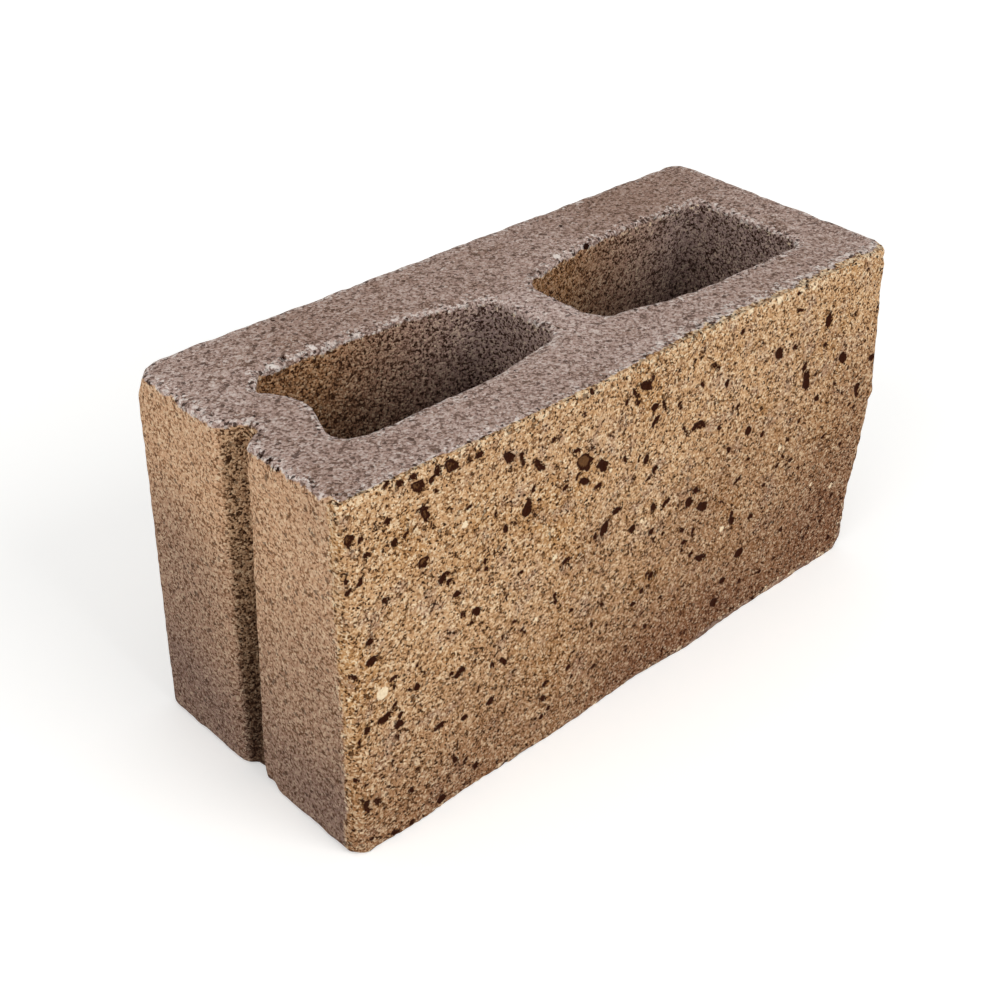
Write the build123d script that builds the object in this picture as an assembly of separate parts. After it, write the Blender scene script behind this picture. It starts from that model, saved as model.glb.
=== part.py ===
from build123d import *
from math import cos, pi, radians, sin, tan
import os

# A hollow concrete masonry unit with a split face.
# Millimetres. Origin: middle of the underside, as the unit stands in a wall.
# X runs along the length, -Y is the split face, +Z is up. The sash groove is in the -X end.

# Overall size
length = 371.0
width = 151.5  # from the foremost point of the split face to the moulded back
height = 194.0

# Shells and webs, measured on top, where the cores are narrowest
back_shell = 43.0
left_front_shell = 38.5  # beside each core, from the foremost point of the split face
right_front_shell = 34.7
end_web = 32.5
centre_web = 24.5
centre_web_x = -4.0  # middle of the web between the two cores

# Cores: the shells thicken towards the centre web in a straight slant, down to a throat
flare_length = 55.0
flare_depth = 12.5
throat_width = 48.0
core_end_radius = 8.0
core_flare_radius = 180.0
core_web_radius = 13.0
core_draft = 3.0  # each core wall leans out by this much from top to underside

# Sash groove in the left end, full height, and the end web that wraps it
groove_y = 0.0
groove_mouth = 22.0
groove_floor = 8.0
groove_depth = 12.5
groove_lip_radius = 3.0
groove_floor_radius = 2.0
groove_web = 30.0
wrap_y = 3.0  # middle of the wrap, a little nearer the back than the groove
wrap_flat = 13.0
wrap_front_ramp = 21.0
wrap_back_ramp = 15.0
wrap_radius = 10.0

# Corners and arrises
mould_corner_radius = 8.0
split_corner_radius = 8.0
arris_radius = 2.0
mouth_wear = 1.5
fillet_share = 0.48  # the most of a wall that one corner may round away

# Relief of the split face, each term measured back from the foremost point
crown_depth = 1.8  # top and bottom edges lie behind mid height
ripple_depth = 1.1  # half height of the wave along the top edge
ripple_length = 225.0
ripple_crest_x = -69.0
runout_depth = 1.2  # bottom right corner breaks away
relief_margin = 12.0  # the broken surface is drawn this far past the unit
relief_columns = 29
relief_rows = 15

overcut = 4.0  # how far a cutting solid runs past the face that it cuts

front_y = -width / 2
back_y = width / 2
left_x = -length / 2
right_x = length / 2


def split_depth(x, z):
    """Depth of the broken face behind its foremost point, at length x and height z."""
    along = (x - left_x) / length
    up = z / height
    crown = crown_depth * (1 - sin(pi * up))
    ripple = ripple_depth * (1 - cos(2 * pi * (x - ripple_crest_x) / ripple_length)) * up
    runout = runout_depth * (1 - up) ** 2 * along**2
    return crown + ripple + runout


def split_solid():
    """Everything behind the broken face, as far as past the back of the unit."""
    rows = []
    for row in range(relief_rows):
        z = -relief_margin + (height + 2 * relief_margin) * row / (relief_rows - 1)
        line = []
        for column in range(relief_columns):
            share = column / (relief_columns - 1)
            x = left_x - relief_margin + (length + 2 * relief_margin) * share
            line.append((x, front_y + split_depth(x, z), z))
        rows.append(line)
    broken_face = Face.make_surface_from_array_of_points(rows, tol=0.01, min_deg=3, max_deg=3)
    return extrude(broken_face, amount=width + overcut, dir=(0, 1, 0))


def unit_outline():
    """Plan of the unit: a rounded rectangle with the groove in its left end."""
    corners = [
        (right_x, front_y, split_corner_radius),
        (right_x, back_y, mould_corner_radius),
        (left_x, back_y, mould_corner_radius),
        (left_x, groove_y + groove_mouth / 2, groove_lip_radius),
        (left_x + groove_depth, groove_y + groove_floor / 2, groove_floor_radius),
        (left_x + groove_depth, groove_y - groove_floor / 2, groove_floor_radius),
        (left_x, groove_y - groove_mouth / 2, groove_lip_radius),
        (left_x, front_y, split_corner_radius),
    ]
    return rounded_face(corners)


def fitted_radius(before, corner, after, radius):
    """Corner radius, no larger than the shorter wall beside the corner lets it be."""
    wall_in = Vector(corner) - Vector(before)
    wall_out = Vector(after) - Vector(corner)
    half_turn = radians(wall_in.get_angle(wall_out)) / 2
    reach = fillet_share * min(wall_in.length, wall_out.length)
    return min(radius, reach / tan(half_turn))


def rounded_face(corners):
    """Closed outline through corners (x, y, radius), as a face at z = 0."""
    points = [(x, y) for x, y, radius in corners]
    radii = []
    for index, (x, y, radius) in enumerate(corners):
        before = points[index - 1]
        after = points[(index + 1) % len(points)]
        radii.append(fitted_radius(before, (x, y), after, radius))
    return make_face(FilletPolyline(*points, radius=radii, close=True))


def core_face(end_x, web_x, front_shell, grow, wraps_groove):
    """Plan of one core, each wall moved out by grow."""
    towards_web = 1 if web_x > end_x else -1
    end = end_x - towards_web * grow
    web = web_x + towards_web * grow
    flare = web_x - towards_web * flare_length
    front_wall = front_y + front_shell - grow
    back_wall = back_y - back_shell + grow
    throat_back = back_wall - flare_depth
    throat_front = throat_back - throat_width - 2 * grow
    corners = [
        (end, front_wall, core_end_radius),
        (flare, front_wall, core_flare_radius),
        (web, throat_front, core_web_radius),
        (web, throat_back, core_web_radius),
        (flare, back_wall, core_flare_radius),
        (end, back_wall, core_end_radius),
    ]
    if wraps_groove:
        wrap_x = left_x + groove_depth + groove_web - grow
        corners += [
            (end, wrap_y + wrap_flat / 2 + wrap_back_ramp, wrap_radius),
            (wrap_x, wrap_y + wrap_flat / 2, wrap_radius),
            (wrap_x, wrap_y - wrap_flat / 2, wrap_radius),
            (end, wrap_y - wrap_flat / 2 - wrap_front_ramp, wrap_radius),
        ]
    return rounded_face(corners)


def grow_at(z):
    """How far the core walls stand out, at height z, from where they are on top."""
    return core_draft * (height - z) / height


def core_solid(end_x, web_x, front_shell, wraps_groove):
    """One core through the whole height, with its worn mouths on top and underneath."""
    worn = mouth_wear + overcut
    levels = [(-overcut, worn), (mouth_wear, 0), (height - mouth_wear, 0), (height + overcut, worn)]
    sections = []
    for z, extra in levels:
        plan = core_face(end_x, web_x, front_shell, grow_at(z) + extra, wraps_groove)
        sections.append(Pos(0, 0, z) * plan)
    return loft(sections, ruled=True)


def unit_solid():
    """The whole unit: moulded prism, split front, two cores."""
    prism = extrude(unit_outline(), amount=height)
    rims = prism.faces().filter_by(Axis.Z).edges()
    prism = fillet(rims, arris_radius)
    unit = prism & split_solid()
    left_web_x = centre_web_x - centre_web / 2
    right_web_x = centre_web_x + centre_web / 2
    left_core = core_solid(left_x + end_web, left_web_x, left_front_shell, True)
    right_core = core_solid(right_x - end_web, right_web_x, right_front_shell, False)
    return unit - left_core - right_core


os.makedirs("parts", exist_ok=True)
unit = unit_solid()
export_step(unit, "parts/block.step")
box = unit.bounding_box()
print("block", round(box.size.X, 2), round(box.size.Y, 2), round(box.size.Z, 2), round(unit.volume))
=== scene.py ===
import math
from functools import partial

import bpy
import numpy as np
from mathutils import Matrix, Vector
from mathutils.geometry import delaunay_2d_cdt


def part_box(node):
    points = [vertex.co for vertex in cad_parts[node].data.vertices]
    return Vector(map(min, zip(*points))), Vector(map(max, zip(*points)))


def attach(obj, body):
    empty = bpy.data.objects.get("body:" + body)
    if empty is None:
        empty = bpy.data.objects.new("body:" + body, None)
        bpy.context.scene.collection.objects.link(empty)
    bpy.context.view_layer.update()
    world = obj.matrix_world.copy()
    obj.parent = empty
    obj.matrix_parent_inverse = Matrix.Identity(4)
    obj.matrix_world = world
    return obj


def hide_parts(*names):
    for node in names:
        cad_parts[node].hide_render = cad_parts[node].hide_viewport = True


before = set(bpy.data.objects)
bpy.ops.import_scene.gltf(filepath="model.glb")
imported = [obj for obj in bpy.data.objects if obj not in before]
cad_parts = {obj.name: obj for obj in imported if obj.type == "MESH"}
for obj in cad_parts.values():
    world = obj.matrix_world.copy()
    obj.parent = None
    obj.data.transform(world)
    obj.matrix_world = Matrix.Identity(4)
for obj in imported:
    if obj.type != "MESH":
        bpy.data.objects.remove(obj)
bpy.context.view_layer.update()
print("frame loaded")

# Lengths are in millimetres up to the mesh, and in metres from there on.
toMetres = 0.001


# Camera: a hand-held view from above the grooved end, slightly rolled.
viewpoint = {
    "place": (-0.5010, -0.4854, 0.5459),  # metres
    "right": (0.72533, -0.68809, 0.02067),  # which way the picture's right side points
    "up": (0.37039, 0.41540, 0.83081),
    "lens": 57.85,
    "sensor": 36.0,
}


def makeCamera(view):
    right, up = Vector(view["right"]).normalized(), Vector(view["up"])
    back = right.cross(up).normalized()
    up = back.cross(right)
    turn = Matrix((right, up, back)).transposed().to_4x4()
    data = bpy.data.cameras.new("viewpoint")
    data.lens, data.sensor_width = view["lens"], view["sensor"]
    camera = bpy.data.objects.new("viewpoint", data)
    camera.matrix_world = Matrix.Translation(view["place"]) @ turn
    bpy.context.scene.collection.objects.link(camera)
    bpy.context.scene.camera = camera


makeCamera(viewpoint)
print("camera placed")


# The block's sizes, as moulded. What the frame's box gives is taken from it.
lowCorner, highCorner = (np.array(corner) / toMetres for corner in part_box("block"))
block = {
    "left": lowCorner[0], "right": highCorner[0],
    "front": lowCorner[1], "back": highCorner[1],
    "height": highCorner[2],
    "splitCorner": 8.0, "mouldCorner": 8.0, "arris": 2.0,
    "grooveMouth": 22.0, "grooveFloor": 8.0, "grooveDepth": 12.5,
    "grooveLip": 3.0, "grooveFillet": 2.0,
    # how far the near lip leans over the groove and from which Y on, and the share of its depth that the
    # groove's foot lacks
    "lipLean": 4.5, "leanFrom": -33.0, "footFill": 0.6, "footPower": 6,
}
split = {  # the broken face, each depth measured back from its foremost point
    "crown": 1.8, "ripple": 1.1, "rippleLength": 225.0, "rippleCrest": -69.0, "runout": 1.2,
}
cores = {  # the places of their walls on top, and their corners
    "leftFront": -37.25, "rightFront": -41.05, "backWall": 32.75, "throat": (-27.75, 20.25),
    "leftEnd": -153.0, "leftWeb": -16.25, "rightEnd": 152.0, "rightWeb": 8.25, "flareLength": 55.0,
    "endFillet": 8.0, "flareFillet": 180.0, "webFillet": 13.0, "wrapFillet": 10.0,
    "wrapX": -144.6, "wrap": (9.5, -5.0, -24.5),  # Y of the wrap's corners round the groove
    # the left core's back corner, broken off at a slant: x, y, radius
    "tip": ((-144.0, 35.2, 3.0), (-155.0, 22.5, 4.0)),
    "draft": 3.0, "mouth": 1.5,
    "divide": -11.25,  # X that parts the two cores' tints
}
steps = {  # distance between mesh points
    "split": 1.45, "leftEnd": 2.3, "groove": 1.6, "hidden": 4.2,
    "rows": 1.5, "cores": 2.3, "coreRows": 3.6, "top": 2.1, "bottom": 5.5,
}
rimPoints = 4  # on the quarter circle of an arris
filletShare = 0.48  # the most of a side that one corner may round away
latticeSize = 48  # cells along each side of a noise's lattice, which then repeats
seeds = {"caps": 11, "crumbling": 21, "fineCrumbling": 22, "raggedLine": 31, "dirtAndShade": 32}
outerWall, coreWall, topFace, underFace = range(4)  # kinds of point
farOff = -4.0  # what a field holds, in millimetres, where no stone or mark is near


def smooth(value, low=0.0, high=1.0):
    # 0 below low, 1 above high, and 3t^2 - 2t^3 between them.
    t = np.clip((value - low) / (high - low), 0, 1)
    return t * t * (3 - 2 * t)


def softNoise(points, size, seed):
    # Value noise: a random number at each crossing of a cubic lattice of that size, blended between
    # crossings by the smooth step. From -1 to 1.
    lattice = np.random.default_rng(seed).uniform(-1, 1, (latticeSize,) * 3)
    cell = points / size
    base = np.floor(cell).astype(int)
    part = cell - base
    part = part * part * (3 - 2 * part)
    total = np.zeros(len(points))
    for corner in np.ndindex(2, 2, 2):
        spot = (base + corner) % latticeSize
        weight = np.prod(np.where(corner, part, 1 - part), axis=1)
        total += weight * lattice[spot[:, 0], spot[:, 1], spot[:, 2]]
    return total


def pebbleNoise(points, size, seed):
    # Cellular noise: one random centre in each cube of that size. 1 at a centre, falling in a straight
    # line to 0 at one cube away, so that every centre is a grain and the grains meet in creases.
    centres = np.random.default_rng(seed).uniform(0, 1, (latticeSize,) * 3 + (3,))
    cell = points / size
    base = np.floor(cell).astype(int)
    nearest = np.full(len(points), np.inf)
    for corner in np.ndindex(3, 3, 3):
        cube = base + np.array(corner) - 1
        spot = cube % latticeSize
        centre = cube + centres[spot[:, 0], spot[:, 1], spot[:, 2]]
        nearest = np.minimum(nearest, np.linalg.norm(cell - centre, axis=1))
    return np.clip(1 - nearest, 0, 1)


def roundedLoop(corners, sideSteps):
    # Plan of a closed outline, counter-clockwise: straight sides joined by arcs tangent to both. On an
    # arc the heading turns evenly, and a corner's radius takes up a limited share of its shorter side.
    # Gives the points and, for each, the direction square to the outline, away from what it encloses.
    spots = np.array([corner[:2] for corner in corners], float)
    radii = np.array([corner[2] for corner in corners], float)
    sideSteps = np.array(sideSteps, float)
    x, y = spots.T
    if np.sum(x * np.roll(y, -1) - np.roll(x, -1) * y) < 0:
        spots, radii = spots[::-1], radii[::-1]
        sideSteps = np.roll(sideSteps[::-1], -1)
    sides = np.roll(spots, -1, 0) - spots
    lengths = np.linalg.norm(sides, axis=1)
    ways = sides / lengths[:, None]
    heading = np.arctan2(ways[:, 1], ways[:, 0])
    turn = (heading - np.roll(heading, 1) + math.pi) % (2 * math.pi) - math.pi
    reach = filletShare * np.minimum(lengths, np.roll(lengths, 1)) / np.tan(abs(turn) / 2)
    radii = np.minimum(radii, reach)
    trims = radii * np.tan(abs(turn) / 2)
    points, headings = [], []
    for i in range(len(corners)):
        before, after = i - 1, (i + 1) % len(corners)
        step = min(sideSteps[before], sideSteps[i])
        count = max(3, math.ceil(radii[i] * abs(turn[i]) / step))
        angles = heading[before] + np.linspace(0, turn[i], count + 1)
        side = math.copysign(radii[i], turn[i])
        start = spots[i] - ways[before] * trims[i]
        centre = start + side * np.array([-ways[before][1], ways[before][0]])
        points.append(centre + side * np.column_stack([np.sin(angles), -np.cos(angles)]))
        headings.append(angles)
        run = lengths[i] - trims[i] - trims[after]
        share = np.linspace(0, 1, max(2, round(run / sideSteps[i])) + 1)[1:-1, None]
        points.append(spots[i] + ways[i] * (trims[i] + run * share))
        headings.append(np.full(len(share), heading[i]))
    points, headings = np.concatenate(points), np.concatenate(headings)
    return points, np.column_stack([np.sin(headings), -np.cos(headings)])


def wallRows(step, rounding):
    # Heights of a wall's rows, and how far each lies back from the wall: a quarter circle at each
    # rim, where height and setback go with the cosine and the sine, and even rows between them.
    height = block["height"]
    angle = np.linspace(0, math.pi / 2, rimPoints)
    rim = rounding * (1 - np.cos(angle))
    setback = rounding * (1 - np.sin(angle))
    middle = np.linspace(rounding, height - rounding, round((height - 2 * rounding) / step) + 1)[1:-1]
    heights = np.concatenate([rim, middle, height - rim[::-1]])
    return heights, np.concatenate([setback, np.zeros(len(middle)), setback[::-1]])


def wallSurface(loop, square, heights, shift):
    # Point (row, column): the plan's point, moved along its square direction by the row's shift, at
    # the row's height.
    plan = loop[None] + square[None] * shift[:, None, None]
    return np.dstack([plan, np.broadcast_to(heights[:, None], plan.shape[:2])])


def splitDepth(x, z):
    # The broken face lies back from its foremost point by a crown that is deepest at the top and
    # bottom edges, a wave along the top edge, and a run-out towards the lower right corner.
    along, up = (x - block["left"]) / (block["right"] - block["left"]), z / block["height"]
    crown = split["crown"] * (1 - np.sin(np.pi * np.clip(up, 0, 1)))
    wave = 1 - np.cos(2 * np.pi * (x - split["rippleCrest"]) / split["rippleLength"])
    return crown + split["ripple"] * wave * up + split["runout"] * (1 - up) ** 2 * along**2


def gridFaces(first, rows, columns, inward):
    # Four-sided faces of a closed band of points, numbered row by row from first.
    index = first + np.arange(rows * columns).reshape(rows, columns)
    after = np.roll(index, -1, 1)
    faces = np.stack([index[:-1], after[:-1], after[1:], index[1:]], -1).reshape(-1, 4)
    return faces[:, ::-1] if inward else faces


def insideRims(points, rims):
    # Whether a line along X from each point crosses the rims an odd number of times, which it does
    # in the block's own material and not over a core.
    outline = np.concatenate(rims)
    nextPoint = np.concatenate([np.roll(rim, -1, 0) for rim in rims])
    px, py = points[:, 0, None], points[:, 1, None]
    (x1, y1), (x2, y2) = outline.T, nextPoint.T
    level = np.where(y2 == y1, 1, y2 - y1)
    crosses = ((y1 > py) != (y2 > py)) & (px < (x2 - x1) * (py - y1) / level + x1)
    return crosses.sum(1) % 2 == 1


def capPoints(rims, step, seed):
    # Points of a level face: a grid of that step, each moved by up to a third of it, kept where it
    # lies in the material and clear of the rims.
    outline = np.concatenate(rims)
    xs = np.arange(block["left"], block["right"], step)
    ys = np.arange(block["front"], block["back"], step)
    grid = np.stack(np.meshgrid(xs, ys), -1).reshape(-1, 2)
    grid += np.random.default_rng(seed).uniform(-step / 3, step / 3, grid.shape)
    gap = np.hypot(grid[:, 0, None] - outline[:, 0], grid[:, 1, None] - outline[:, 1]).min(1)
    keep = insideRims(grid, rims) & (gap > 0.6 * step)
    return grid[keep], gap[keep]


def capFaces(rims, rimIndex, inner, firstInner, upward):
    # Triangles between the rims through the inner points, without those that bridge a core.
    points = np.concatenate(rims + [inner])
    index = np.concatenate(rimIndex + [firstInner + np.arange(len(inner))])
    edges, start = [], 0
    for rim in rims:
        order = start + np.arange(len(rim))
        edges.append(np.column_stack([order, np.roll(order, -1)]))
        start += len(rim)
    edges = np.concatenate(edges).tolist()
    found = delaunay_2d_cdt([Vector(p) for p in points.tolist()], edges, [], 1, 1e-6)
    source = np.array([place[0] for place in found[3]])[np.array(found[2])]
    triangles = index[source[insideRims(points[source].mean(1), rims)]]
    return triangles if upward else triangles[:, ::-1]


# Outer wall: plan outline with the groove, carried up the block's height.
halfMouth, halfFloor = block["grooveMouth"] / 2, block["grooveFloor"] / 2
grooveX = block["left"] + block["grooveDepth"]
grooveEnd = grooveX + 1  # just past its floor
outline = [  # x, y, radius, and the mesh step of the side that follows
    (block["right"], block["front"], block["splitCorner"], steps["hidden"]),
    (block["right"], block["back"], block["mouldCorner"], steps["hidden"]),
    (block["left"], block["back"], block["mouldCorner"], steps["leftEnd"]),
    (block["left"], halfMouth, block["grooveLip"], steps["groove"]),
    (grooveX, halfFloor, block["grooveFillet"], steps["groove"]),
    (grooveX, -halfFloor, block["grooveFillet"], steps["groove"]),
    (block["left"], -halfMouth, block["grooveLip"], steps["leftEnd"]),
    (block["left"], block["front"], block["splitCorner"], steps["split"]),
]


def coreOutline(end, web, front, wrap):
    # Plan of one core: parallel walls from the end web, then a straight slant in to the centre web. With
    # wrap, the Y of three corners, the end wall goes round the groove and the back corner is broken off.
    flare = web - math.copysign(cores["flareLength"], web - end)
    back, (throatFront, throatBack) = cores["backWall"], cores["throat"]
    corners = [
        (end, front, cores["endFillet"]), (flare, front, cores["flareFillet"]),
        (web, throatFront, cores["webFillet"]), (web, throatBack, cores["webFillet"]),
        (flare, back, cores["flareFillet"]),
    ]
    if not wrap:
        return corners + [(end, back, cores["endFillet"])]
    fillet = cores["wrapFillet"]
    corners += [*cores["tip"], (cores["wrapX"], wrap[0], fillet), (cores["wrapX"], wrap[1], fillet)]
    return corners + [(end, wrap[2], fillet)]


def settleGroove(wall):
    # Towards the bottom the near lip leans over the groove, by a share that falls in a straight line
    # to none on top. At the very foot the groove gets shallower, with a high power of that share.
    x, y, z = wall[..., 0], wall[..., 1], wall[..., 2]
    low = np.clip(1 - z / block["height"], 0, 1)
    atEnd = x < grooveEnd
    near = smooth(y, block["leanFrom"], -halfMouth) * smooth(y, halfMouth, -halfFloor)
    inside = atEnd & (abs(y) < halfMouth + block["grooveLip"])
    filled = block["footFill"] * low ** block["footPower"]
    wall[..., 0] -= np.where(inside, (x - block["left"]) * filled, 0)
    wall[..., 1] += block["lipLean"] * atEnd * near * low


def makeWalls():
    # The outer wall and the two core walls, each as its grid of points and whether it faces inward.
    loop, square = roundedLoop([row[:3] for row in outline], [row[3] for row in outline])
    heights, setback = wallRows(steps["rows"], block["arris"])
    outer = wallSurface(loop, square, heights, -setback)
    broken = block["front"] + splitDepth(outer[..., 0], outer[..., 2])
    outer[..., 1] = np.maximum(outer[..., 1], broken)
    settleGroove(outer)
    walls = [(outer, False)]
    coreHeights, coreSetback = wallRows(steps["coreRows"], cores["mouth"])
    shift = cores["draft"] * (1 - coreHeights / block["height"]) + coreSetback
    left = coreOutline(cores["leftEnd"], cores["leftWeb"], cores["leftFront"], cores["wrap"])
    right = coreOutline(cores["rightEnd"], cores["rightWeb"], cores["rightFront"], None)
    for corners in (left, right):
        loop, square = roundedLoop(corners, [steps["cores"]] * len(corners))
        walls.append((wallSurface(loop, square, coreHeights, shift), True))
    return walls


def makeBlockMesh():
    # All points in one array, with each one's kind and its distance from the nearest rim.
    points, faces, kind, gap, bottomRims, topRims, first = [], [], [], [], [], [], 0
    for surface, inward in makeWalls():
        rows, columns = surface.shape[:2]
        points.append(surface.reshape(-1, 3))
        faces += gridFaces(first, rows, columns, inward).tolist()
        z = points[-1][:, 2]
        kind.append(np.full(len(z), coreWall if inward else outerWall))
        gap.append(np.minimum(z, block["height"] - z))
        index = first + np.arange(rows * columns).reshape(rows, columns)
        bottomRims.append((surface[0, :, :2], index[0]))
        topRims.append((surface[-1, :, :2], index[-1]))
        first += rows * columns
    for rims, level, step, upward in ((topRims, block["height"], steps["top"], True),
                                      (bottomRims, 0.0, steps["bottom"], False)):
        plans, index = [rim[0] for rim in rims], [rim[1] for rim in rims]
        inner, innerGap = capPoints(plans, step, seeds["caps"])
        faces += capFaces(plans, index, inner, first, upward).tolist()
        points.append(np.column_stack([inner, np.full(len(inner), level)]))
        kind.append(np.full(len(inner), topFace if upward else underFace))
        gap.append(innerGap)
        first += len(inner)
    return np.concatenate(points), faces, np.concatenate(kind), np.concatenate(gap)


# Dark stones and the sockets they left, on the split face: x, z, length, breadth, tilt in degrees,
# and 1 where the stone's own broken face shows, paler than its rim. The near-black of a socket's rim
# is partly painted shade.
bigStones = [
    (-46, 156, 11.5, 8.5, 150, 1), (-33, 150, 9, 4.5, 125, 0), (-45, 146, 7, 4, 140, 0),
    (-35, 139, 5, 3, 0, 0), (-180, 175, 7.5, 6, 120, 1), (-174, 173, 4, 2.5, 85, 0),
    (-172, 164, 3.5, 3, 160, 0), (-157, 164, 4.5, 3.5, 130, 0), (-151, 165, 4, 2, 65, 0),
    (-142, 147, 7, 6, 80, 1), (-140, 171, 8, 5.5, 100, 1), (-144, 185, 7, 4.5, 150, 1),
    (-146, 191, 4, 2.5, 155, 0), (-153, 190, 4, 3, 150, 0), (-133, 189, 5, 3.5, 115, 0),
    (-125, 188, 8.5, 5, 155, 1), (-134, 179, 3.5, 2, 120, 0), (-116, 187, 3, 2.5, 105, 0),
    (-110, 187, 4.5, 2.5, 150, 0), (-92, 178, 7, 5, 150, 0), (-85, 176, 4, 2, 105, 0),
    (-75, 168, 8.5, 3, 130, 1), (-81, 147, 9, 6, 75, 0), (-94, 142, 4.5, 3, 110, 0),
    (-131, 133, 6, 4, 40, 0), (-124, 121, 4, 3, 20, 0), (-112, 106, 5, 3.5, 135, 0),
    (-176, 153, 4, 3, 40, 0), (-182, 151, 4, 2, 15, 0), (-183, 157, 5, 1.5, 80, 0),
    (-173, 121, 4, 3.5, 110, 0), (-173, 110, 5.5, 4, 40, 0), (-85, 114, 3.5, 2, 170, 0),
    (-121, 77, 4, 2.5, 170, 0), (-4, 180, 8, 4.5, 150, 0), (-11, 178, 7, 2, 125, 0),
    (3, 166, 4.5, 3.5, 0, 0), (10, 164, 7, 2, 110, 0), (4, 158, 6, 3, 45, 0), (38, 142, 9.5, 4, 160, 1),
    (27, 143, 8, 1.5, 120, 0), (54, 134, 4, 3, 145, 0), (77, 124, 4, 3.5, 65, 0),
    (63, 118, 4, 2.5, 130, 0), (-1, 139, 5.5, 4, 90, 0), (6, 130, 5, 3, 100, 0), (-17, 146, 4, 2, 110, 0),
    (35, 98, 7, 5, 135, 0), (46, 91, 8.5, 4.5, 145, 0), (7, 108, 6, 3, 110, 0), (16, 106, 6, 3, 35, 0),
    (-9, 103, 6, 4.5, 170, 0), (-29, 112, 9.5, 5, 60, 0), (-21, 119, 6, 3, 175, 0),
    (-35, 110, 4, 2.5, 115, 0), (6, 94, 4.5, 3, 10, 0), (-55, 106, 6, 3.5, 10, 0), (34, 73, 5, 3, 130, 0),
    (41, 77, 5.5, 2, 95, 0), (72, 72, 11, 3, 100, 0), (89, 65, 5, 4, 90, 0), (83, 44, 7, 5.5, 10, 0),
    (49, 57, 10.5, 4, 150, 0), (72, 30, 6.5, 4, 145, 0), (66, 19, 8, 5.5, 135, 0),
    (-27, 66, 5, 3, 125, 0), (-181, 105, 5, 2, 130, 0), (-165, 74, 8, 4, 5, 0),
    (-157, 66, 5, 3.5, 135, 0), (-176, 73, 3.5, 3, 110, 0), (-147, 81, 4.5, 3, 115, 0),
    (-122, 76, 6, 3.5, 5, 0), (-134, 51, 7, 3, 0, 0), (-102, 47, 5.5, 4, 5, 0),
    (-67, 29, 6.5, 2.5, 150, 0), (-125, 25, 6.5, 2, 115, 0), (-111, 12, 4, 3.5, 45, 0),
    (-172, 29, 5.5, 3, 130, 0), (-178, 29, 10.5, 3, 95, 1), (-152, 23, 4.5, 3, 90, 0),
    (-133, 5, 6, 5, 165, 0), (-162, 2, 4.5, 3, 125, 0), (-159, 59, 4, 2, 110, 0), (97, 161, 9, 6, 130, 0),
    (123, 136, 11, 4.5, 105, 0), (120, 145, 5.5, 3, 75, 0), (136, 166, 7, 5, 90, 0),
    (152, 139, 6.5, 5.5, 80, 0), (167, 116, 5, 4.5, 85, 0), (178, 130, 6, 4, 175, 0),
    (47, 171, 7, 3, 145, 0), (38, 165, 5, 2.5, 110, 0), (110, 160, 4, 2.5, 150, 0),
    (136, 152, 4, 2.5, 150, 0), (134, 121, 4.5, 3, 130, 0), (111, 180, 4, 2.5, 160, 0),
    (78, 123, 4, 3, 65, 0),
]
smallStones = {"count": 190, "length": (1.8, 3.6), "slimness": (0.45, 0.9), "seed": 5}
stoneShape = {"sides": (5, 8), "uneven": (-0.3, 0.3), "apart": (0.66, 1.08)}
relief = {
    # layers of unevenness: the size of a wave or grain, its height, and the seed of its noise
    "split": [(42, 0.5, 1), (15, 0.35, 2), (5.5, 0.22, 3)], "splitGrain": [(6.5, 0.5, 4), (3.4, 0.5, 5)],
    "mould": [(45, 0.2, 6), (9, 0.12, 7), (3.6, 0.18, 8)],
    # how squarely a broken point faces the split side, and how far back it may lie
    "brokenFacing": (0.45, 0.85), "brokenFrom": 0.3, "brokenReach": 12.0,
    "crumbleReach": 3.6, "crumble": 1.7, "crumbleSize": 6.0, "fineSize": 2.4, "bottomShare": 0.4,
    "cornerReach": 5.0, "cornerWear": 2.0, "socketDepth": 1.1, "socketEdge": (-0.3, 0.9),
    # shares of the fine and the patchy noise in the wear, and of the even and the patchy part of a knock
    "rimMix": (0.25, 0.75), "cornerMix": (0.3, 0.7), "knockMix": (0.7, 0.6),
}
knocks = [  # worn corners and chips: x, y, z, reach, depth, and which way the surface has gone in
    (-185.5, 75.7, 194, 15, 4.5, (1, -1, -1)), (185.5, -75.7, 194, 13, 3.0, (-1, 1, -1)),
    (-185.5, -75.7, 194, 8, 1.5, (1, 1, -1)), (-185.5, -7, 0, 16, 1.2, (1, -0.6, 1)),
    (-185.5, -75.7, 0, 9, 2.0, (1, 1, 1)), (185.5, -75.7, 0, 10, 2.5, (-1, 1, 1)),
    (-185.5, -12, 194, 6, 0.9, (1, -1, -1)), (-134, 34, 194, 6, 3.4, (0, -1, 0)),
    (-127, 34, 194, 6, 3.6, (0, 1, -0.8)), (-104, 34, 194, 7, 2.2, (0, 1, -0.4)),
    (24, 31, 194, 6, 2.2, (0, 1, -1)), (65, 30, 194, 5, 2.6, (0, 0.6, -1)),
    (150, 20, 194, 7, 2.4, (0.7, 0.3, -1)), (-152, -38, 194, 13, 2.8, (1, 1, 0)),
    (135, 33, 194, 14, 2.0, (0, -1, 0)),
]
bulges = [  # where the broken face stands out further: x, y, z, reach, height, and which way
    (185.5, -76, 100, 75, 3.6, (0.6, -1, 0)), (-150, -76, 0, 80, 2.4, (0, -1, 0)),
    (-60, -76, 0, 70, 1.6, (0, -1, 0)), (45, -76, 0, 50, 1.6, (0, -1, 0)),
]
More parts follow.
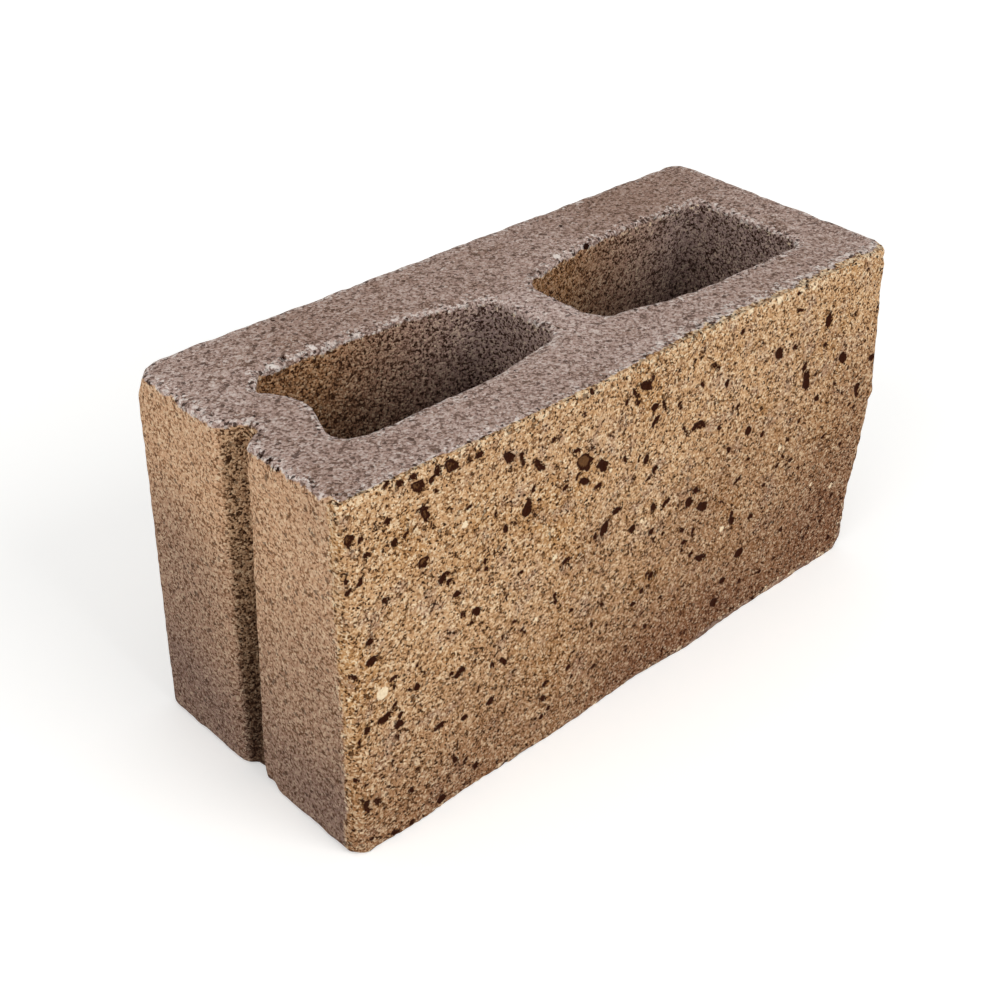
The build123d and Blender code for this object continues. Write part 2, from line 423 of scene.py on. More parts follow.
marks = [  # pale crumbs and pebbles (1) and dark holes (-1), whose darkness is painted shadow in a chip: x, y, z, radius, and which
    (-136, 36.5, 194, 1.9, 1), (-128, 37.5, 193, 2.3, -1), (-112, 36.5, 194, 2.0, 1),
    (-113, 39.5, 194, 1.2, 1), (42, 32, 194, 2.4, 1), (49, 32.5, 194, 1.7, 1), (65, 31.5, 193, 2.7, -1),
    (60, 34, 194, 1.0, 1), (148, -6, 194, 1.7, 1), (149.5, -38, 194, 1.9, 1), (-184.5, -21, 193, 1.7, -1),
    (-184, -27, 193, 1.9, -1), (-185, -33, 192.5, 1.6, -1), (-12, 58, 194, 1.5, 1),
    (20, 60, 194, 1.3, -1), (70, 56, 194, 1.8, -1), (-60, 64, 194, 1.4, -1), (-150, 52, 194, 1.3, 1),
    (-166.8, -75, 89, 3.4, 1), (-117, -75, 163, 1.9, 1), (-119, -75, 156, 2.2, 1),
    (-63, -75, 112, 1.9, 1), (-74, -75, 81.5, 1.7, 1), (107, -75, 101, 1.8, 1), (162, -75, 52.5, 1.7, 1),
    (141, -75, 63, 1.4, 1), (65, -75, 68, 2.0, 1), (72, -73, 192.5, 2.0, 1), (93, -73, 191.5, 2.2, 1),
    (2.6, -74, 186, 2.0, 1), (-183, -72, 94, 1.8, 1), (-182, -72, 80, 1.9, 1), (-120, -75, 115, 1.3, 1),
    (-27, -75, 144, 1.3, 1), (-2, -75, 104, 1.4, 1), (-40, -73, 190, 1.5, 1), (-95, -74, 191, 1.3, 1),
    (120, -73, 190, 1.8, 1), (150, -73, 189, 1.6, 1), (45, -74, 192.5, 1.7, -1),
    (63, -74, 192.5, 1.5, -1), (84, -74, 192.5, 1.7, -1), (114, -74, 192.5, 1.6, -1),
    (-185, 4, 193, 1.4, -1), (-184, 9, 193.5, 1.2, -1), (-182, 12, 194, 1.3, 1), (-180, 8, 194, 1.2, -1),
]
crumbs = {  # lumps along the split's top edge: how far they go from it, and their share at places along x
    "reach": 7.5, "places": (-185, -60, 40, 185), "share": (0.3, 0.34, 0.5, 0.54),
}
wornEdge = {  # strip of the top that broke away with the face: its width at the left, and at the right
    "left": -0.6, "right": 5.5, "from": -60.0, "to": 70.0, "raggedSize": 6.0, "ragged": 3.4,
    "corner": 6.0,  # how far the broken face goes round the block's corners
}
dirtAndShade = {  # where the lower parts are greyer, partly dirt and partly painted shade near the floor: heights in millimetres, and shares for each millimetre
    "endHigh": 175.0, "endLow": 10.0, "towardsBack": 0.0012, "splitHigh": 127.0, "splitLow": -5.0,
    "towardsRight": 0.0019, "top": 0.45, "patchSize": 60.0, "patch": 0.2,
    "patches": [  # x, y, z, reach, share
        (-4, -6, 194, 36, -0.7), (120, 70, 194, 95, 0.45), (-185, 45, 112, 55, 0.22),
        (-185, 40, 180, 45, -0.25), (-185, -45, 60, 40, -0.12), (150, -75, 60, 60, 0.2),
        (-120, -75, 165, 60, -0.2), (-30, -75, 112, 36, 0.25), (40, -75, 88, 40, 0.2),
        (-185, -60, 186, 30, 0.1), (-80, 65, 194, 75, 0.25),
    ],
}
fringe = {  # where the mould's skin is left on the split side: along the bottom, and down the right arris
    "high": 3.0, "from": -20.0, "to": 60.0, "side": 4.0, "sideHigh": 140.0, "sideLow": 100.0,
}
cover = {  # how far the skin and the groove's tint go, in millimetres; the groove's tint is partly its own brown and partly painted shade
    "none": -9.0, "skinOnBroken": 9.0, "brokenFade": (-3.0, 0.0), "coreRim": 0.6, "grooveFade": (0.3, 4.0),
    "grooveRim": 3.0, "brokenRagged": 0.5, "skinRagged": 0.4, "noBeads": 99.0,
}


def stoneField(x, z):
    # How far inside the nearest stone a point lies, in millimetres, negative outside, and whether that
    # stone is a pale one. A stone's outline is a few straight sides set round an ellipse at uneven
    # distances.
    draw = np.random.default_rng(smallStones["seed"])
    count = smallStones["count"]
    long = draw.uniform(*smallStones["length"], count)
    scattered = np.column_stack([
        draw.uniform(block["left"], block["right"], count), draw.uniform(0, block["height"], count),
        long, long * draw.uniform(*smallStones["slimness"], count), draw.uniform(0, 180, count),
        np.zeros(count),
    ])
    reach, pale = np.full(len(x), farOff), np.zeros(len(x))
    for sx, sz, length, breadth, tilt, bare in np.concatenate([np.array(bigStones), scattered]):
        cosine, sine = math.cos(math.radians(tilt)), math.sin(math.radians(tilt))
        u = ((x - sx) * cosine + (z - sz) * sine) / (length / 2)
        v = ((z - sz) * cosine - (x - sx) * sine) / (breadth / 2)
        sides = draw.integers(*stoneShape["sides"])
        facing = (np.arange(sides) + draw.uniform(*stoneShape["uneven"], sides)) * 2 * math.pi / sides
        apart = draw.uniform(*stoneShape["apart"], sides)
        inside = (apart - u[:, None] * np.cos(facing) - v[:, None] * np.sin(facing)).min(1) * breadth / 2
        pale = np.where(inside > reach, bare, pale)
        reach = np.maximum(reach, inside)
    return reach, pale


def weatherPoints(points, square, kind, gap):
    # Moves every point along its own square direction by the layers of relief, and back by the
    # crumbling near rims and corners and by the sockets of the stones. Knocks and bulges then move
    # what is near them, each its own way.
    x, y, z = points.T
    onSplit = smooth(-square[:, 1], *relief["brokenFacing"]) * (kind == outerWall)
    onSplit = onSplit * (y < block["front"] + relief["brokenReach"])
    isBroken = onSplit > relief["brokenFrom"]
    rough = sum(high * softNoise(points, size, seed) for size, high, seed in relief["split"])
    grains = sum(high * (pebbleNoise(points, size, seed) - 0.5) for size, high, seed in relief["splitGrain"])
    plain = sum(high * softNoise(points, size, seed) for size, high, seed in relief["mould"])
    shift = onSplit * (rough + grains) + (1 - onSplit) * plain
    patchy = 0.5 + 0.5 * softNoise(points, relief["crumbleSize"], seeds["crumbling"])
    fine = 0.5 + 0.5 * softNoise(points, relief["fineSize"], seeds["fineCrumbling"])
    nearRim = smooth(1 - gap / relief["crumbleReach"])
    share = np.where(isBroken & (z < block["height"] / 2), relief["bottomShare"], 1)
    fineShare, patchyShare = relief["rimMix"]
    shift -= relief["crumble"] * share * nearRim * (fineShare * fine + patchyShare * patchy**2)
    uprights = [(block[end], block[side]) for end in ("left", "right") for side in ("front", "back")]
    uprights += [(block["left"], -halfMouth), (block["left"], halfMouth)]
    away = np.min([np.hypot(x - cornerX, y - cornerY) for cornerX, cornerY in uprights], axis=0)
    nearCorner = smooth(1 - away / relief["cornerReach"])
    fineShare, patchyShare = relief["cornerMix"]
    shift -= relief["cornerWear"] * nearCorner * (fineShare * fine + patchyShare * patchy)
    reach, pale = stoneField(x, z)
    reach = np.where(isBroken, reach, farOff)
    shift -= relief["socketDepth"] * smooth(reach, *relief["socketEdge"])
    moved = points + square * shift[:, None]
    evenShare, patchyShare = relief["knockMix"]
    for knockX, knockY, knockZ, size, depth, way in knocks + bulges:
        near = np.linalg.norm(points - (knockX, knockY, knockZ), axis=1) / size
        way = np.array(way) / np.linalg.norm(way)
        moved += way * (depth * smooth(1 - near) * (evenShare + patchyShare * patchy))[:, None]
    moved[:, 2] = np.maximum(moved[:, 2], 0)
    return moved, reach, pale


def findCover(points, kind, gap):
    # How far inside the grey skin and the broken face each point lies, and the share of lumps near the
    # split's top edge. Each line between them is straight or follows the face, plus a ragged noise.
    x, y, z = points.T
    height = block["height"]
    ragged = wornEdge["ragged"] * softNoise(points, wornEdge["raggedSize"], seeds["raggedLine"])
    brokenRagged, skinRagged = cover["brokenRagged"] * ragged, cover["skinRagged"] * ragged
    edge = block["front"] + splitDepth(x, z)
    wider = smooth(x, wornEdge["from"], wornEdge["to"])
    width = wornEdge["left"] + (wornEdge["right"] - wornEdge["left"]) * wider
    strip = y - edge - width - ragged  # how far behind the strip that broke away with the face
    face = edge + wornEdge["corner"] + brokenRagged - y
    low = z - fringe["high"] * smooth(x, fringe["from"], fringe["to"]) + brokenRagged
    side = fringe["side"] * smooth(z, fringe["sideHigh"], fringe["sideLow"])
    side = block["right"] - x - side + skinRagged
    broken = np.where(kind == outerWall, np.minimum(face, np.minimum(low, side)), -strip)
    broken = np.where((kind == coreWall) | (kind == underFace), cover["none"], broken)
    # the skin goes over the arris a little, but not over the broken face
    spilled = z - height + skinRagged + cover["coreRim"] * (kind == coreWall)
    spilled -= cover["skinOnBroken"] * smooth(broken, *cover["brokenFade"])
    skin = np.where(kind == topFace, np.minimum(gap + skinRagged, strip), spilled)
    fromEdge = np.where((kind == outerWall) & (broken > 0), height - z, cover["noBeads"])
    fromEdge = np.where(kind == topFace, strip, fromEdge)
    beads = np.interp(x, crumbs["places"], crumbs["share"]) * smooth(1 - fromEdge / crumbs["reach"])
    return {"castSkin": skin, "broken": broken, "beads": beads}


def findDirtAndShade(points, kind, broken):
    # Share of dirt and painted shade: on the moulded sides it rises smoothly towards the bottom, on the
    # broken face in a straight line, and the top has an even share. Slow noise and the patches are added to
    # it.
    # The rise towards the bottom is partly dirt and partly painted shade near the floor.
    x, y, z = points.T
    # darker towards the bottom: partly dirt, partly painted shade near the floor
    ends = smooth(z, dirtAndShade["endHigh"], dirtAndShade["endLow"]) + dirtAndShade["towardsBack"] * y
    faces = (dirtAndShade["splitHigh"] - z) / (dirtAndShade["splitHigh"] - dirtAndShade["splitLow"]) + dirtAndShade["towardsRight"] * x
    patch = dirtAndShade["patch"] * softNoise(points, dirtAndShade["patchSize"], seeds["dirtAndShade"])
    for patchX, patchY, patchZ, reach, share in dirtAndShade["patches"]:
        patch += share * smooth(1 - np.linalg.norm(points - (patchX, patchY, patchZ), axis=1) / reach)
    even = np.where(kind == topFace, dirtAndShade["top"], np.where(broken > 0, faces, ends))
    return np.clip(even + patch, 0, 1)


def findMarks(points, which):
    # How far inside the nearest mark of one sort each point lies.
    reach = np.full(len(points), farOff)
    for markX, markY, markZ, radius, sort in marks:
        if sort == which:
            inside = radius - np.linalg.norm(points - (markX, markY, markZ), axis=1)
            reach = np.maximum(reach, inside)
    return reach


def finishFields(points, kind, gap):
    # What the concrete's material needs to know at each point. Lengths are in millimetres.
    x, y, z = points.T
    fields = findCover(points, kind, gap)
    inGroove = (kind == outerWall) & (x < grooveEnd) & (abs(y) < halfMouth + cover["grooveRim"])
    # the groove's tint, partly its own brown and partly painted shade in the recess, fades in from the lip
    fields["groove"] = smooth(np.where(inGroove, x - block["left"], 0), *cover["grooveFade"])
    fields["dirtAndShade"] = findDirtAndShade(points, kind, fields["broken"])
    # the crumbs, and the dark holes whose shadow is painted
    fields["crumb"], fields["holeShade"] = findMarks(points, 1), findMarks(points, -1)
    left = np.where(x < cores["divide"], cores["leftEnd"], cores["rightWeb"])
    fields["core"] = kind == coreWall
    fields["alongCore"] = np.clip((x - left) / (cores["leftWeb"] - cores["leftEnd"]), 0, 1)
    # painted shade deep in the cores: how far below the top a point lies
    fields["depth"] = 1 - z / block["height"]
    return fields


def buildBlock():
    points, faces, kind, gap = makeBlockMesh()
    mesh = bpy.data.meshes.new("split_face_block")
    mesh.from_pydata(points.tolist(), [], faces)
    square = np.zeros(len(points) * 3)
    mesh.vertex_normals.foreach_get("vector", square)
    moved, reach, pale = weatherPoints(points, square.reshape(-1, 3), kind, gap)
    mesh.vertices.foreach_set("co", (moved * toMetres).astype(np.float32).ravel())
    fields = {"stoneReach": reach, "stonePale": pale, **finishFields(points, kind, gap)}
    for name, values in fields.items():
        mesh.attributes.new(name, "FLOAT", "POINT").data.foreach_set("value", values.astype(np.float32))
    mesh.shade_smooth()
    mesh.update()
    piece = bpy.data.objects.new("split_face_block", mesh)
    bpy.context.scene.collection.objects.link(piece)
    print("block:", len(points), "points,", sum(len(face) - 2 for face in faces), "triangles")
    return piece


blockPiece = buildBlock()
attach(blockPiece, "root")
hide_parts("block")


def toLinear(code):
    # sRGB hex to the linear colour that a shader takes.
    parts = [int(code[i:i + 2], 16) / 255 for i in (1, 3, 5)]
    return [c / 12.92 if c <= 0.04045 else ((c + 0.055) / 1.055) ** 2.4 for c in parts] + [1.0]


def addNode(tree, kind, inputs=(), output=0, **settings):
    # Adds a node with its settings and gives one of its outputs. The inputs go by name or number, or
    # as a list from the first on. Each is a value or another node's output, a hex string a colour.
    node = tree.nodes.new("ShaderNode" + kind)
    for name, value in settings.items():
        setattr(node, name, value)
    for key, value in inputs.items() if isinstance(inputs, dict) else enumerate(inputs):
        if isinstance(value, bpy.types.NodeSocket):
            tree.links.new(value, node.inputs[key])
        else:
            node.inputs[key].default_value = toLinear(value) if isinstance(value, str) else value
    return node.outputs[output] if len(node.outputs) else node


concrete = {  # colours as seen in soft light, grain sizes in millimetres
    "buff": "#D2A578", "ochre": "#BE8746", "ash": "#B3917A", "brokenLow": "#8A5E42",
    "mould": "#DAAE8A", "mouldLow": "#8E7265", "skin": "#C6ACA2", "skinBrown": "#A68878",
    # coreDeepShade: painted shade at the bottom of the cores
    "coreBrown": "#B6855C", "coreGrey": "#AF958E", "coreDeepShade": "#5E3E32",
    # groove: partly its own brown, partly painted shade; grooveLowShade: painted shade towards the groove's
    # bottom
    "groove": "#BE9672", "grooveLowShade": "#3E261C",
    # pit: near black, partly painted shade in pores and chips; stoneRim: partly painted shade in a socket
    "pale": "#FFE8C4", "palest": "#F2E6DE", "pit": "#220A01", "stone": "#6E4A2C", "stoneRim": "#361606",
    "shade": "#BAA68E", "skinShade": "#C1B8B0",  # what darker grains multiply the colour by
    "grain": 1.0, "gravel": 1.7, "rubble": 1.5, "fine": 0.9, "cloud": 3.2, "rise": 1.5, "wobble": 1.3,
    "raggedness": 4.5, "patch": 40.0, "mottle": 14.0, "relief": 1.0, "roughness": 0.93, "gloss": 0.1,
    "wobbleReach": (0.7, 0.7, 0.7),
    "cloudShare": 0.9, "toneShift": 0.1,  # in the tone of a grain
    "brownByAsh": 0.6,
    "paleFrom": 1.42, "paleMost": 0.95, "scattered": 0.035,
    # share of pale grains: a slope with the dirt and painted shade, and what there is where it is clean
    "palePlain": (-0.45, 0.8), "paleBroken": (-0.45, 1.0), "paleHollow": (-0.38, 0.5),
    # pitMostHollow: more dark pits in the cores and the groove, as painted shade
    "pitMostHollow": 0.9, "pitMostSkin": 0.4, "holesByLine": -0.3,
    "stoneByFine": 1.8, "stoneByCloud": 2.6,  # how far noise moves a stone's outline
    "heightByFine": 0.5, "heightBySide": -0.8, "heightByPit": -0.5, "heightByStone": -0.6,
}
ramps = {  # of noise, tones, shares or millimetres: from, to, and what comes out at each
    "ochre": (0.5, 0.68, 0, 0.5), "ash": (0.52, 0.68, 0, 0.7),
    # deep: painted shade down the cores
    "greyer": (0.3, 0.95, 0, 1), "deepShade": (0.05, 0.5, 0, 1),
    "ragged": (0, 1, -3.0, 3.0), "onBroken": (-0.8, 0.8, 0, 1), "onSkin": (-2.4, -1.4, 0, 1),
    "bySkin": (5.0, 1.0, 0, 0.32), "byBroken": (3.0, 0.5, 0, 0.2),
    "coarse": (0, 1, -0.28, 0.28), "shade": (1.32, 0.97, 0, 0.85),
    "paleTo": (0, 1, 2.1, 2.02), "lump": (1.0, 1.05), "lumpMost": (0, 1, 0.35, 0.9),
    "markEdge": (0, 1, -1.2, 1.2), "mark": (-0.2, 0.4, 0, 1),
    "pitFrom": (0, 1, 1.06, 1.34), "pitTo": (0, 1, 0.76, 0.84), "pitMost": (0, 1, 0.5, 0.95),
    # hole: painted shadow in holes along the lines
    "holeShade": (-0.01, -0.03, 0, 0.85), "speck": (0.045, 0.03, 0, 0.6),
    "stone": (1.7, 2.05, 0, 1), "bare": (3.0, 3.7, 0, 1),
}


def sandGrains(node, inMm, mix):
    # Cells with wobbly sides for sand, gravel and rubble, each with its own tone, and finer and coarser
    # clouds over them.
    wobble = node("TexNoise", {"Vector": inMm, "Scale": 1 / mix["wobble"], "Detail": 1.0}, "Color")
    loose = node("VectorMath", [wobble, mix["wobbleReach"], inMm], operation="MULTIPLY_ADD")
    sand = {}
    for name in ("grain", "gravel", "rubble"):
        cells = node("TexVoronoi", {"Vector": loose, "Scale": 1 / mix[name]}, "Color")
        sand[name] = node("SeparateXYZ", [cells])
    sand["side"] = node("TexVoronoi", {"Vector": loose, "Scale": 1 / mix["grain"]}, "Distance")
    for name, detail in (("fine", 1.0), ("cloud", 2.0), ("rise", 2.0)):
        sand[name] = node("TexNoise", {"Vector": inMm, "Scale": 1 / mix[name], "Detail": detail})
    return sand


def coverShares(node, inMm, field, mix):
    # Where the broken face, the grey skin and the hollows are, with ragged lines between them, and how
    # near such a line is.
    ragged = {"Vector": inMm, "Scale": 1 / mix["raggedness"], "Detail": 3.0, "Roughness": 0.7}
    ragged = node("TexNoise", ragged)
    ragged = node("MapRange", [ragged, *ramps["ragged"]], clamp=False)
    brokenReach = node("Math", [field["broken"], ragged], operation="ADD")
    skinReach = node("Math", [field["castSkin"], ragged], operation="ADD")
    offBroken = node("Math", [brokenReach], operation="ABSOLUTE")
    offSkin = node("Math", [skinReach], operation="ABSOLUTE")
    byBroken = node("MapRange", [offBroken, *ramps["byBroken"]])
    bySkin = node("MapRange", [offSkin, *ramps["bySkin"]])
    return {
        "broken": node("MapRange", [brokenReach, *ramps["onBroken"]]),
        "skin": node("MapRange", [skinReach, *ramps["onSkin"]]),
        "hollow": node("Math", [field["core"], field["groove"]], operation="MAXIMUM"),
        "line": node("Math", [bySkin, byBroken], operation="MAXIMUM"),
    }


def slowTints(node, inMm, field, on, mix):
    # The colour before its grains: a tint for the broken face, the moulded faces, the hollows and the
    # grey skin, each with slow changes and with dirt and painted shade towards the bottom. The hollows
    # also get painted shade deep down.
    patch = node("TexNoise", {"Vector": inMm, "Scale": 1 / mix["patch"], "Detail": 3.0, "Roughness": 0.6})
    mottle = node("TexNoise", {"Vector": inMm, "Scale": 1 / mix["mottle"], "Detail": 3.0, "Roughness": 0.65})
    ochre = node("MapRange", [patch, *ramps["ochre"]])
    ash = node("MapRange", [mottle, *ramps["ash"]])
    split = node("Mix", {0: ochre, 6: mix["buff"], 7: mix["ochre"]}, 2, data_type="RGBA")
    split = node("Mix", {0: ash, 6: split, 7: mix["ash"]}, 2, data_type="RGBA")
    # painted shade with the dirt: the broken face darkens towards the bottom
    split = node("Mix", {0: field["dirtAndShade"], 6: split, 7: mix["brokenLow"]}, 2, data_type="RGBA")
    greyer = node("MapRange", [field["alongCore"], *ramps["greyer"]])
    core = node("Mix", {0: greyer, 6: mix["coreBrown"], 7: mix["coreGrey"]}, 2, data_type="RGBA")
    # painted shade: the core walls darken towards the bottom of the cores
    deepShade = node("MapRange", [field["depth"], *ramps["deepShade"]])
    core = node("Mix", {0: deepShade, 6: core, 7: mix["coreDeepShade"]}, 2, data_type="RGBA")
    # painted shade: the groove darkens to near black towards the bottom
    groove = node("Mix", {0: field["dirtAndShade"], 6: mix["groove"], 7: mix["grooveLowShade"]}, 2, data_type="RGBA")
    # painted shade with the dirt: the moulded faces darken towards the bottom
    mould = node("Mix", {0: field["dirtAndShade"], 6: mix["mould"], 7: mix["mouldLow"]}, 2, data_type="RGBA")
    mould = node("Mix", {0: field["groove"], 6: mould, 7: groove}, 2, data_type="RGBA")
    mould = node("Mix", {0: field["core"], 6: mould, 7: core}, 2, data_type="RGBA")
    brown = node("Math", [ash, mix["brownByAsh"], field["dirtAndShade"]], operation="MULTIPLY_ADD")
    skin = node("Mix", {0: brown, 6: mix["skin"], 7: mix["skinBrown"]}, 2, data_type="RGBA")
    colour = node("Mix", {0: on["broken"], 6: mould, 7: split}, 2, data_type="RGBA")
    return node("Mix", {0: on["skin"], 6: colour, 7: skin}, 2, data_type="RGBA")


def grainTone(node, sand, on, mix):
    # Tone of a grain, from about 0.5 to 2: its cell's own, coarser on the skin, plus both clouds.
    coarse = node("MapRange", [sand["gravel"], *ramps["coarse"]])
    tone = node("Math", [on["skin"], coarse, sand["grain"]], operation="MULTIPLY_ADD")
    tone = node("Math", [sand["fine"], mix["cloudShare"], tone], operation="MULTIPLY_ADD")
    tone = node("Math", [sand["cloud"], mix["cloudShare"], tone], operation="MULTIPLY_ADD")
    return node("Math", [tone, mix["toneShift"]], operation="SUBTRACT")


def paleGrains(node, field, sand, on, tone, crumb, mix):
    # Share of pale grain: the lightest tones, fewer where the dirt and painted shade lie, whole lumps along
    # the lines and a few on the broken face, and the crumbs.
    clean = node("Math", [field["dirtAndShade"], *mix["palePlain"]], operation="MULTIPLY_ADD")
    fresh = node("Math", [field["dirtAndShade"], *mix["paleBroken"]], operation="MULTIPLY_ADD")
    fresh = node("Math", [fresh, on["broken"]], operation="MULTIPLY")
    clean = node("Math", [clean, fresh], operation="MAXIMUM")
    # fewer pale grains in the groove where the dirt and painted shade lie
    grooveDirtAndShade = node("Math", [field["dirtAndShade"], field["groove"]], operation="MULTIPLY")
    inHollow = node("Math", [grooveDirtAndShade, *mix["paleHollow"]], operation="MULTIPLY_ADD")
    share = node("MapRange", [on["hollow"], 0, 1, clean, inHollow])
    paleTo = node("MapRange", [on["broken"], *ramps["paleTo"]])
    pale = node("MapRange", [tone, mix["paleFrom"], paleTo, 0, mix["paleMost"]])
    pale = node("Math", [pale, share], operation="MULTIPLY")
    scattered = node("Math", [on["broken"], mix["scattered"]], operation="MULTIPLY")
    lump = node("Math", [on["line"], scattered], operation="MAXIMUM")
    lump = node("Math", [lump, field["beads"]], operation="MAXIMUM")
    lump = node("Math", [sand["rubble"], lump], operation="ADD")
    lumpMost = node("MapRange", [sand["gravel"], *ramps["lumpMost"]])
    lump = node("MapRange", [lump, *ramps["lump"], 0, lumpMost])
    pale = node("Math", [pale, lump], operation="MAXIMUM")
    return node("Math", [pale, crumb], operation="MAXIMUM")


def darkPits(node, sand, on, tone, chipShade, crumb, mix):
    # Share of dark pit: the darkest tones, most in the hollows, whole lumps along the lines, specks and
    # the chips, but none on a crumb. The near-black is partly painted shade in pores and creases, partly
    # dark grains; the chips and holes are painted shadow, and the extra pits in the hollows painted shade.
    most = node("MapRange", [on["broken"], *ramps["pitMost"]])
    most = node("MapRange", [on["hollow"], 0, 1, most, mix["pitMostHollow"]])
    most = node("MapRange", [on["skin"], 0, 1, most, mix["pitMostSkin"]])
    pitFrom = node("MapRange", [on["hollow"], *ramps["pitFrom"]])
    pitTo = node("MapRange", [on["hollow"], *ramps["pitTo"]])
    pit = node("MapRange", [tone, pitFrom, pitTo, 0, most])
    # painted shade: dark holes where lumps are missing along the lines
    holeShade = node("Math", [on["line"], mix["holesByLine"], sand["rubble"]], operation="MULTIPLY_ADD")
    holeShade = node("MapRange", [holeShade, *ramps["holeShade"]])
    speck = node("MapRange", [sand["gravel"], *ramps["speck"]])
    holeShade = node("Math", [holeShade, speck], operation="MAXIMUM")
    pit = node("Math", [pit, holeShade], operation="MAXIMUM")
    pit = node("Math", [pit, chipShade], operation="MAXIMUM")
    noCrumb = node("Math", [1.0, crumb], operation="SUBTRACT")
    return node("Math", [pit, noCrumb], operation="MULTIPLY")


def darkStones(node, field, sand, mix):
    # Share of dark stone on the broken face, and its colour: near black at the rim, partly painted shade
    # in the socket, brown where its own inside shows.
    reach = node("Math", [sand["fine"], mix["stoneByFine"], field["stoneReach"]], operation="MULTIPLY_ADD")
    reach = node("Math", [sand["cloud"], mix["stoneByCloud"], reach], operation="MULTIPLY_ADD")
    bare = node("MapRange", [reach, *ramps["bare"]])
    bare = node("Math", [bare, field["stonePale"]], operation="MULTIPLY")
    colour = node("Mix", {0: bare, 6: mix["stoneRim"], 7: mix["stone"]}, 2, data_type="RGBA")
    return node("MapRange", [reach, *ramps["stone"]]), colour


def concreteMaterial(mix):
    # Dry-cast concrete of buff sand and dark crushed stone, moulded and vibrated, then broken down one
    # side. The eye gets a matt, sandy face of pale and dark grains, near-black sockets, cream crumbs
    # along the arrises, and on top a thin grey skin of cement with a ragged edge. Painted shade darkens
    # the chips, part of the near-black pits and sockets, the bottoms of the cores and the groove, and,
    # with the dirt, the lower parts of the sides.
    material = bpy.data.materials.new("buff_split_concrete")
    material.use_nodes = True
    tree = material.node_tree
    tree.nodes.clear()
    node = partial(addNode, tree)
    inMm = node("Mapping", {"Vector": node("TexCoord", output="Object"), "Scale": (1 / toMetres,) * 3})
    field = {name: node("Attribute", output="Fac", attribute_name=name) for name in
             ("stoneReach", "stonePale", "castSkin", "broken", "groove", "core", "dirtAndShade", "alongCore", "depth",
              "crumb", "holeShade", "beads")}
    sand = sandGrains(node, inMm, mix)
    on = coverShares(node, inMm, field, mix)
    colour = slowTints(node, inMm, field, on, mix)

    tone = grainTone(node, sand, on, mix)
    shade = node("MapRange", [tone, *ramps["shade"]])
    tint = node("Mix", {0: on["skin"], 6: mix["shade"], 7: mix["skinShade"]}, 2, data_type="RGBA")
    colour = node("Mix", {0: shade, 6: colour, 7: tint}, 2, data_type="RGBA", blend_type="MULTIPLY")
    markEdge = node("MapRange", [sand["fine"], *ramps["markEdge"]], clamp=False)
    crumb = node("Math", [field["crumb"], markEdge], operation="ADD")
    crumb = node("MapRange", [crumb, *ramps["mark"]])
    # painted shadow in the chips of the dark holes
    chipShade = node("Math", [field["holeShade"], markEdge], operation="ADD")
    chipShade = node("MapRange", [chipShade, *ramps["mark"]])
    pale = paleGrains(node, field, sand, on, tone, crumb, mix)
    tint = node("Mix", {0: on["skin"], 6: mix["pale"], 7: mix["palest"]}, 2, data_type="RGBA")
    colour = node("Mix", {0: pale, 6: colour, 7: tint}, 2, data_type="RGBA")
    pit = darkPits(node, sand, on, tone, chipShade, crumb, mix)
    # painted shade in part: near-black pits for the shade in pores, creases and chips
    colour = node("Mix", {0: pit, 6: colour, 7: mix["pit"]}, 2, data_type="RGBA")
    # painted shade in part: the sockets' near-black rims
    stone, tint = darkStones(node, field, sand, mix)
    colour = node("Mix", {0: stone, 6: colour, 7: tint}, 2, data_type="RGBA")

    height = sand["rise"]
    for part, share in ((sand["fine"], "heightByFine"), (sand["side"], "heightBySide"), (pit, "heightByPit"),
                        (stone, "heightByStone")):
        height = node("Math", [part, mix[share], height], operation="MULTIPLY_ADD")
    bump = node("Bump", {"Height": height, "Strength": 1.0, "Distance": mix["relief"] * toMetres})
    shader = node("BsdfPrincipled", {"Base Color": colour, "Normal": bump, "Roughness": mix["roughness"],
                                     "IOR": 1.5, "Specular IOR Level": mix["gloss"]})
    node("OutputMaterial", [shader])
    return material


blockPiece.data.materials.append(concreteMaterial(concrete))
print("concrete mixed")


stageSet = {
    "floorSize": 12.0,  # metres
    "floor": "#F4F4F2",
    "lift": (0.7, 2.6, 0.3, 1.0),  # from, to, in metres from the block, and the floor's glow at each
    "sky": "#FFFFFF", "skyLight": 0.55,
    "lamps": [  # name, place, aim, size, watts, colour
        ("key", (0.9, -4.0, 2.8), (0, 0, 0.1), 3.0, 107.0, "#FFFFFF"),
        ("fill", (-4.0, -0.4, 2.6), (0, 0, 0.1), 3.4, 66.0, "#FFFFFF"),
    ],
}


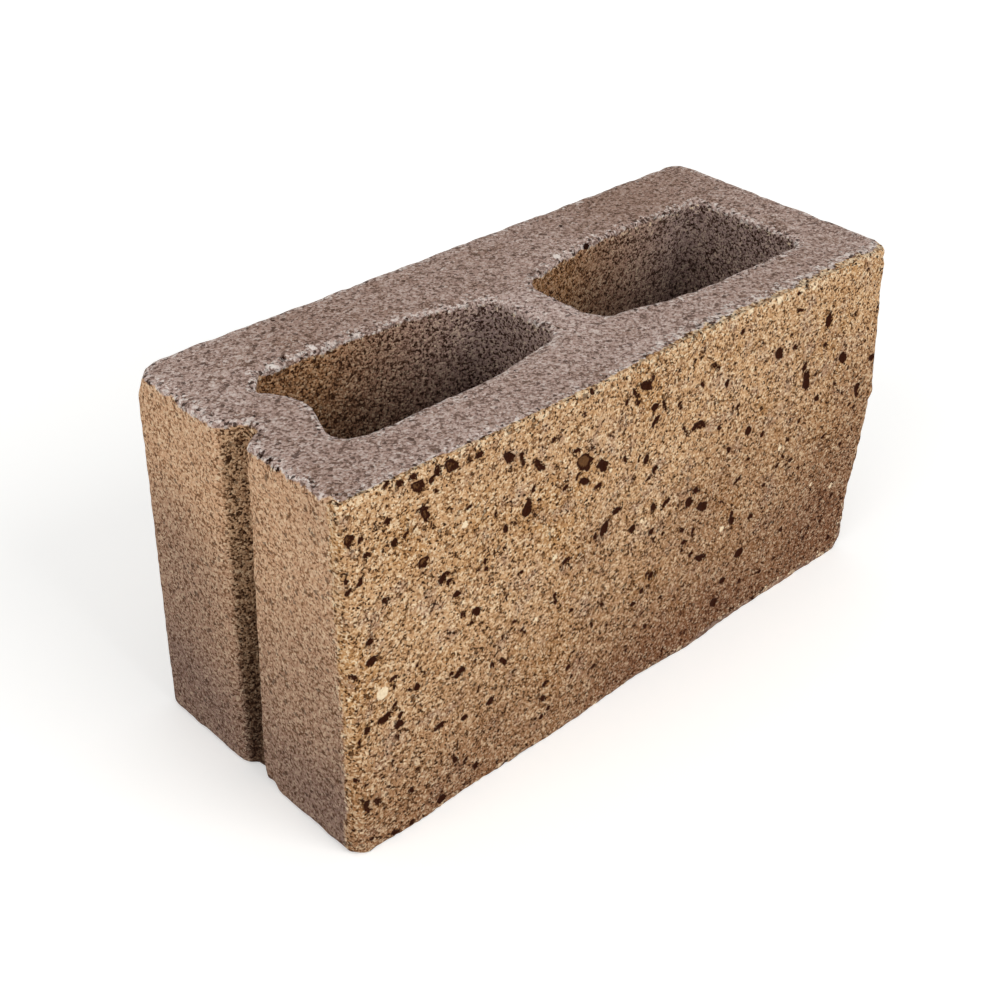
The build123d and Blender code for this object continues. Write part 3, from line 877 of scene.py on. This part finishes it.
def seenAsIs(node):
    # 1 where the camera sees a thing straight on, mirrored or through glass, 0 for the light it gives.
    camera = node("LightPath", output="Is Camera Ray")
    mirrored = node("LightPath", output="Is Glossy Ray")
    through = node("LightPath", output="Is Transmission Ray")
    seen = node("Math", [camera, mirrored], operation="ADD", use_clamp=True)
    return node("Math", [seen, through], operation="ADD", use_clamp=True)


def makeFloor(settings):
    # Pale matt floor. Seen straight on or mirrored it is lifted to white, most of all far off, and
    # keeps a faint shadow round the block.
    half = settings["floorSize"] / 2
    mesh = bpy.data.meshes.new("floor")
    corners = [(-half, -half, 0), (half, -half, 0), (half, half, 0), (-half, half, 0)]
    mesh.from_pydata(corners, [], [(0, 1, 2, 3)])
    floor = bpy.data.objects.new("floor", mesh)
    bpy.context.scene.collection.objects.link(floor)
    material = bpy.data.materials.new("pale_matt_floor")
    material.use_nodes = True
    tree = material.node_tree
    tree.nodes.clear()
    node = partial(addNode, tree)
    away = node("VectorMath", [node("TexCoord", output="Object")], "Value", operation="LENGTH")
    lift = node("MapRange", [away, *settings["lift"]])
    lift = node("Math", [seenAsIs(node), lift], operation="MULTIPLY")
    matt = node("BsdfDiffuse", {"Color": settings["floor"]})
    glow = node("Emission", {"Color": "#FFFFFF", "Strength": lift})
    node("OutputMaterial", [node("AddShader", [matt, glow])])
    mesh.materials.append(material)


def makeSky(settings):
    # White to the camera, and a weaker even light on the block.
    world = bpy.data.worlds.new("studio")
    world.use_nodes = True
    tree = world.node_tree
    tree.nodes.clear()
    node = partial(addNode, tree)
    strength = node("MapRange", [seenAsIs(node), 0, 1, settings["skyLight"], 1.0])
    node("OutputWorld", [node("Background", {"Color": settings["sky"], "Strength": strength})])
    bpy.context.scene.world = world


def makeLamps(settings):
    for name, place, aim, size, watts, colour in settings["lamps"]:
        data = bpy.data.lights.new(name, "AREA")
        data.energy, data.size, data.color = watts, size, toLinear(colour)[:3]
        lamp = bpy.data.objects.new(name, data)
        turn = (Vector(aim) - Vector(place)).to_track_quat("-Z", "Y").to_matrix().to_4x4()
        lamp.matrix_world = Matrix.Translation(place) @ turn
        bpy.context.scene.collection.objects.link(lamp)


makeFloor(stageSet)
makeSky(stageSet)
makeLamps(stageSet)
bpy.context.scene.view_settings.view_transform = "Standard"
print("stage lit")
